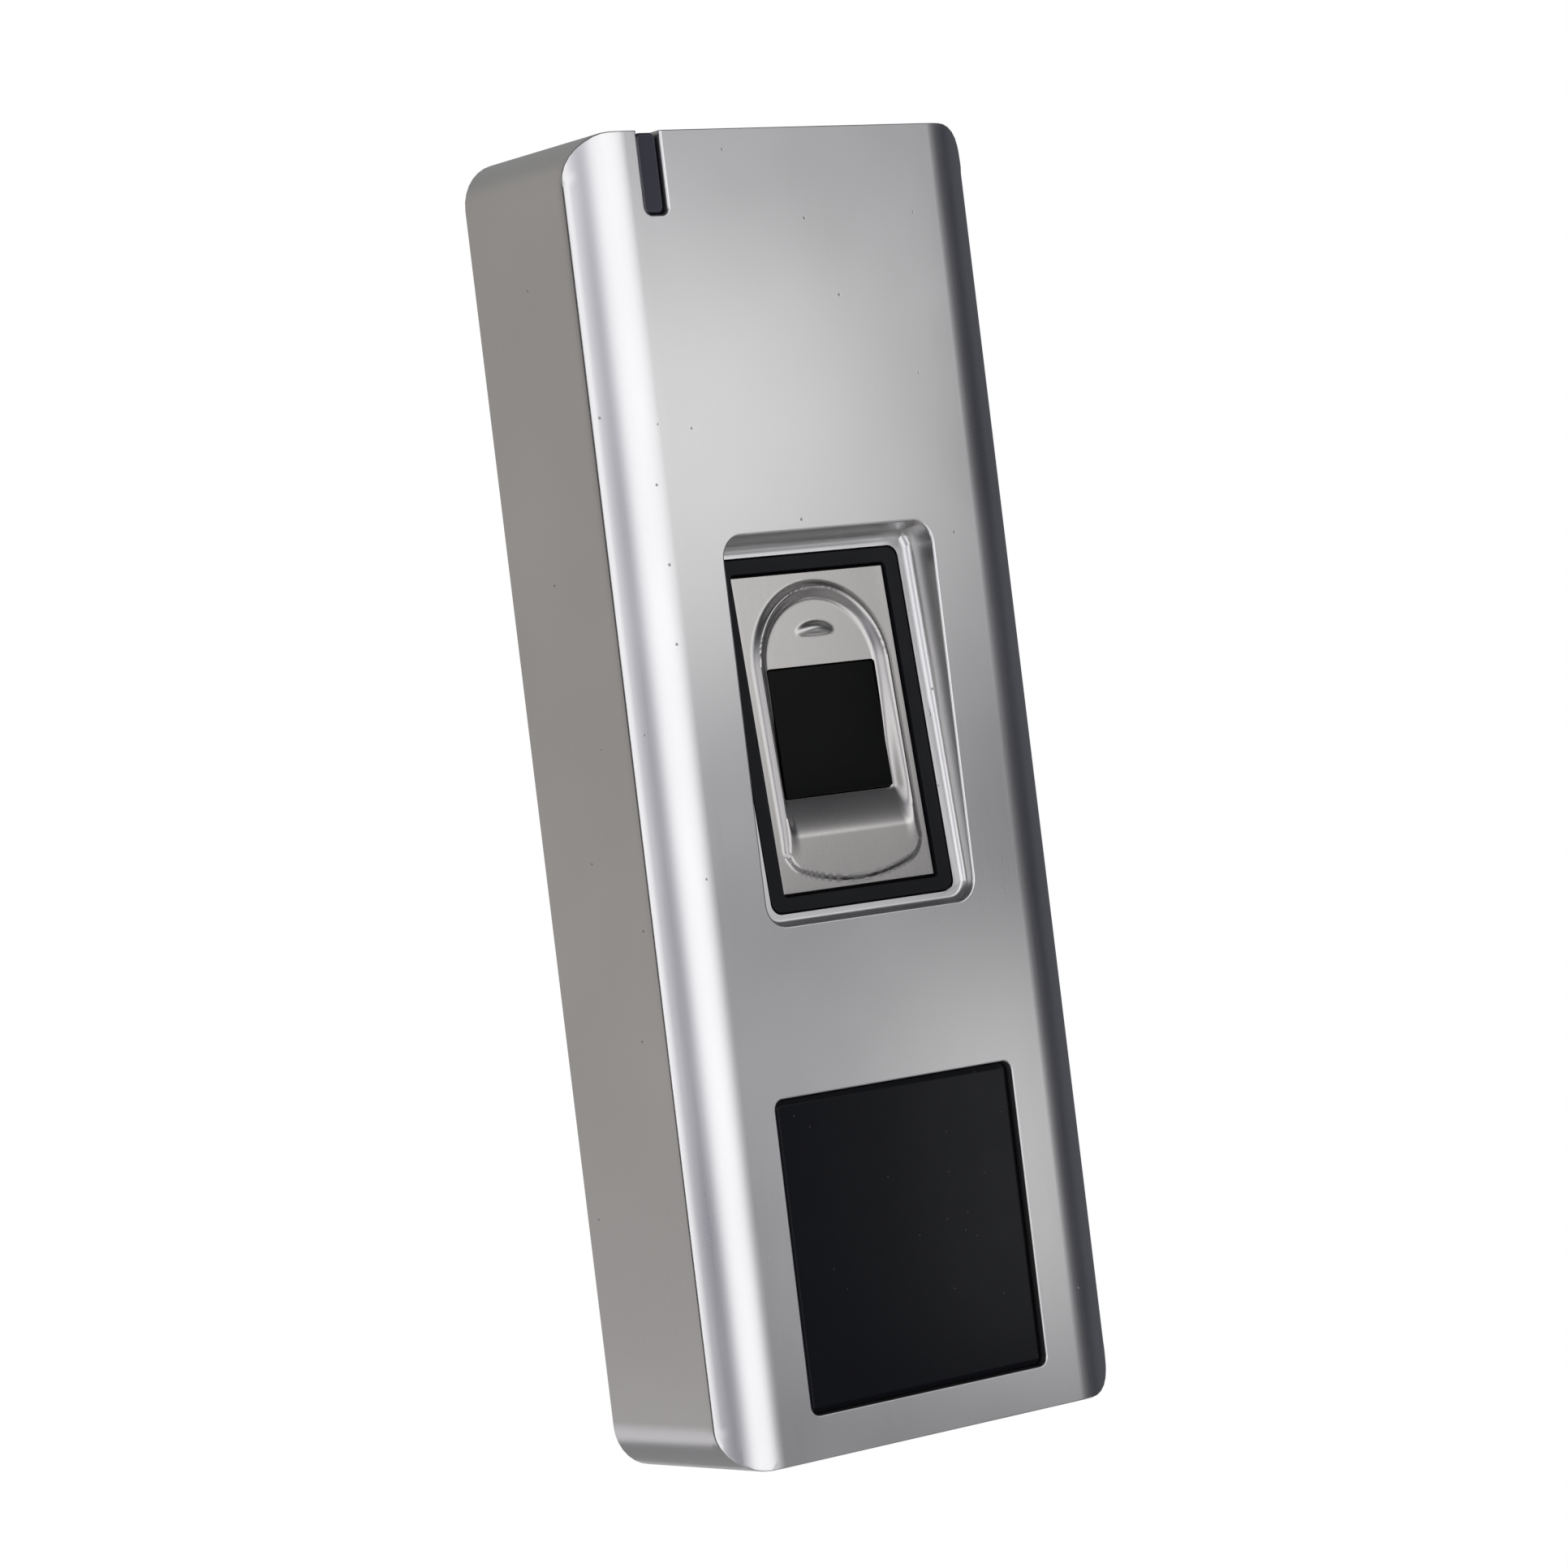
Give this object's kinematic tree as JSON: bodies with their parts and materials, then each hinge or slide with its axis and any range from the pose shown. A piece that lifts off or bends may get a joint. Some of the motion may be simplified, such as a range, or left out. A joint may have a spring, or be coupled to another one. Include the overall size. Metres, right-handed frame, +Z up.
{
  "type": "fingerprint scanner terminal",
  "caption": "Slim wall-mounted fingerprint terminal: satin metal shell, recessed finger sensor, black card window, status light slot, hook-on bracket and lock screw.",
  "frame": {"origin": "centre of the wall bracket's rear face, half way up the terminal", "axes": "+Y into the wall, so the front faces -Y; +Z up; +X to the right seen from the front"},
  "size_m": [0.05, 0.0212, 0.13],
  "materials": {
    "cast_metal": "satin",
    "bezel_metal": "satin",
    "steel": "satin",
    "brass": "satin",
    "copper": "satin",
    "black_plastic": "satin",
    "black_gloss": "gloss",
    "smoked_plastic": "gloss",
    "clear_glass": "gloss",
    "rubber": "matte",
    "tape": "matte",
    "board": "satin",
    "chip": "matte",
    "header": "satin",
    "relay": "satin",
    "sleeve": "satin",
    "led_red": "gloss",
    "led_green": "gloss"
  },
  "bodies": {
    "wall_bracket": {"wall_bracket": "steel"},
    "terminal": {"front_shell": "cast_metal", "sensor_bezel": "bezel_metal", "led_lens": "smoked_plastic", "led_board": "board", "status_led_red": "led_red", "status_led_green": "led_green", "led_board_screw": "steel", "sensor_frame": "black_plastic", "sensor_seal": "rubber", "sensor_window": "black_gloss", "sensor_prism": "clear_glass", "sensor_lens": "black_plastic", "sensor_camera": "chip", "sensor_light_board": "board", "sensor_housing": "black_plastic", "sensor_board": "board", "sensor_screw_1": "steel", "sensor_screw_2": "steel", "sensor_screw_3": "steel", "sensor_screw_4": "steel", "sensor_header": "header", "sensor_cable": "tape", "card_window": "black_gloss", "card_window_tape": "tape", "antenna_coil": "copper", "antenna_board": "board", "antenna_lead": "chip", "main_board": "board", "board_screw_1": "steel", "board_screw_2": "steel", "board_screw_3": "steel", "board_screw_4": "steel", "processor": "chip", "memory_chip": "chip", "card_reader_chip": "chip", "power_inductor": "chip", "power_capacitor": "sleeve", "backup_cell": "steel", "relay": "relay", "buzzer": "chip", "power_header": "header", "signal_header": "header", "led_lead": "chip", "tamper_switch": "black_plastic", "tamper_spring": "steel", "back_cover": "steel", "cover_screw_1": "steel", "cover_screw_2": "steel", "cover_screw_3": "steel", "cover_screw_4": "steel", "back_gasket": "rubber", "cable_grommet": "rubber", "lock_insert": "brass"},
    "tamper_plunger": {"tamper_plunger": "header"},
    "lock_screw": {"lock_screw": "steel"}
  },
  "joints": [
    {"name": "terminal_tilt", "type": "hinge", "parent": "wall_bracket", "child": "terminal", "pos_m": [0, -0.0003, 0.065], "axis": [-1, 0, 0], "range_deg": [0, 8]},
    {"name": "tamper_press", "type": "slide", "parent": "terminal", "child": "tamper_plunger", "axis": [0, -1, 0], "range_m": [0, 0.0015], "stiffness_N_per_m": 200, "springref_m": -0.003, "deforming": ["tamper_spring"]},
    {"name": "lock_screw_travel", "type": "slide", "parent": "terminal", "child": "lock_screw", "axis": [0, 0, -1], "range_m": [0, 0.006]}
  ]
}
